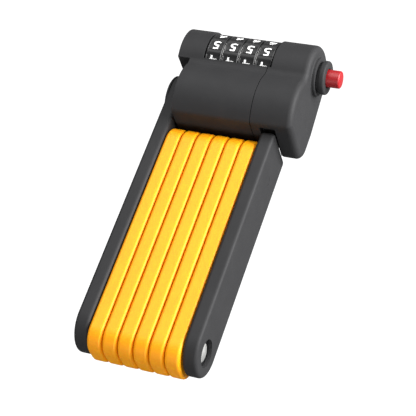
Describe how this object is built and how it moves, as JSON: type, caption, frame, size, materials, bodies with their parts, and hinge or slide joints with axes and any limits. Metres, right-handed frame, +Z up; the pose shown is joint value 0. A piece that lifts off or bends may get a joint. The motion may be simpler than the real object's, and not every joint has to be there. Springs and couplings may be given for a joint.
{
  "type": "folding bike lock",
  "caption": "Folded bike lock: yellow-coated hinged links between two black end bars, joined to a black combination lock head with number dials and a red push button.",
  "frame": {"origin": "middle of the folded lock's bounding box, at its lowest point", "axes": "+Y along the bars from the hinges towards the lock head, +X across the stack towards the push button, +Z up, out of the dials' window; -Y is the front"},
  "size_m": [0.0768, 0.1636, 0.0355],
  "materials": {
    "black_plastic": "fine satin moulded plastic",
    "yellow_coating": "smooth satin moulded coating",
    "red_plastic": "glossy moulded plastic",
    "bright_steel": "bright plated steel",
    "dark_steel": "dark hardened steel",
    "dial_plastic": "semi-gloss black plastic"
  },
  "bodies": {
    "right_bar": {"right_bar_core": "dark_steel", "right_bar_cover": "black_plastic", "hinge_rivet_7": "bright_steel", "hinge_washer_7": "bright_steel"},
    "link_6": {"link_core_6": "dark_steel", "link_sleeve_6": "yellow_coating", "hinge_rivet_6": "bright_steel", "hinge_washer_6": "bright_steel"},
    "link_5": {"link_core_5": "dark_steel", "link_sleeve_5": "yellow_coating", "hinge_rivet_5": "bright_steel", "hinge_washer_5": "bright_steel"},
    "link_4": {"link_core_4": "dark_steel", "link_sleeve_4": "yellow_coating", "hinge_rivet_4": "bright_steel", "hinge_washer_4": "bright_steel"},
    "link_3": {"link_core_3": "dark_steel", "link_sleeve_3": "yellow_coating", "hinge_rivet_3": "bright_steel", "hinge_washer_3": "bright_steel"},
    "link_2": {"link_core_2": "dark_steel", "link_sleeve_2": "yellow_coating", "hinge_rivet_2": "bright_steel", "hinge_washer_2": "bright_steel"},
    "link_1": {"link_core_1": "dark_steel", "link_sleeve_1": "yellow_coating", "hinge_rivet_1": "bright_steel", "hinge_washer_1": "bright_steel"},
    "left_bar": {"left_bar_core": "dark_steel", "left_bar_cover": "black_plastic", "pivot_cap": "black_plastic", "head_rivet": "bright_steel", "head_washer": "bright_steel"},
    "head": {"left_casing": "black_plastic", "right_casing": "black_plastic", "button_collar": "black_plastic", "lock_frame": "dark_steel", "detent_spring": "bright_steel", "button_spring": "bright_steel", "casing_screw_1": "bright_steel", "casing_screw_2": "bright_steel", "casing_screw_3": "bright_steel"},
    "dial_1": {"dial_1": "dial_plastic", "dial_hub_1": "bright_steel"},
    "dial_2": {"dial_2": "dial_plastic", "dial_hub_2": "bright_steel"},
    "dial_3": {"dial_3": "dial_plastic", "dial_hub_3": "bright_steel"},
    "dial_4": {"dial_4": "dial_plastic", "dial_hub_4": "bright_steel"},
    "button": {"push_button": "red_plastic", "spindle": "bright_steel", "latch_slider": "dark_steel"}
  },
  "joints": [
    {"name": "fold", "type": "hinge", "parent": "right_bar", "child": "link_6", "pos_m": [-0.03018, -0.0701, 0.012], "axis": [1, 0, 0], "range_deg": [0, 180]},
    {"name": "hinge_65", "type": "hinge", "parent": "link_6", "child": "link_5", "pos_m": [-0.03018, 0.019, 0.012], "axis": [1, 0, 0], "range_deg": [-180, 0]},
    {"name": "hinge_54", "type": "hinge", "parent": "link_5", "child": "link_4", "pos_m": [-0.03018, -0.0701, 0.012], "axis": [1, 0, 0], "range_deg": [0, 180]},
    {"name": "hinge_43", "type": "hinge", "parent": "link_4", "child": "link_3", "pos_m": [-0.03018, 0.019, 0.012], "axis": [1, 0, 0], "range_deg": [-180, 0]},
    {"name": "hinge_32", "type": "hinge", "parent": "link_3", "child": "link_2", "pos_m": [-0.03018, -0.0701, 0.012], "axis": [1, 0, 0], "range_deg": [0, 180]},
    {"name": "hinge_21", "type": "hinge", "parent": "link_2", "child": "link_1", "pos_m": [-0.03018, 0.019, 0.012], "axis": [1, 0, 0], "range_deg": [-180, 0]},
    {"name": "hinge_left_bar", "type": "hinge", "parent": "link_1", "child": "left_bar", "pos_m": [-0.03018, -0.0701, 0.012], "axis": [1, 0, 0], "range_deg": [0, 180]},
    {"name": "head_pivot", "type": "hinge", "parent": "left_bar", "child": "head", "pos_m": [-0.03018, 0.0485, 0.012], "axis": [1, 0, 0], "range_deg": [-90, 0]},
    {"name": "dial_turn_1", "type": "hinge", "parent": "head", "child": "dial_1", "pos_m": [-0.01872, 0.0669, 0.0204], "axis": [1, 0, 0], "continuous": true},
    {"name": "dial_turn_2", "type": "hinge", "parent": "head", "child": "dial_2", "pos_m": [-0.01073, 0.0669, 0.0204], "axis": [1, 0, 0], "continuous": true},
    {"name": "dial_turn_3", "type": "hinge", "parent": "head", "child": "dial_3", "pos_m": [-0.00272, 0.0669, 0.0204], "axis": [1, 0, 0], "continuous": true},
    {"name": "dial_turn_4", "type": "hinge", "parent": "head", "child": "dial_4", "pos_m": [0.00528, 0.0669, 0.0204], "axis": [1, 0, 0], "continuous": true},
    {"name": "button_press", "type": "slide", "parent": "head", "child": "button", "axis": [-1, 0, 0], "range_m": [0, 0.004], "stiffness_N_per_m": 400, "springref_m": -0.002, "deforming": ["button_spring"]}
  ],
  "couplings": [
    {"joint": "hinge_65", "follows": "fold", "ratio": -1},
    {"joint": "hinge_54", "follows": "fold", "ratio": 1},
    {"joint": "hinge_43", "follows": "fold", "ratio": -1},
    {"joint": "hinge_32", "follows": "fold", "ratio": 1},
    {"joint": "hinge_21", "follows": "fold", "ratio": -1},
    {"joint": "hinge_left_bar", "follows": "fold", "ratio": 1},
    {"joint": "head_pivot", "follows": "fold", "ratio": -0.5}
  ]
}
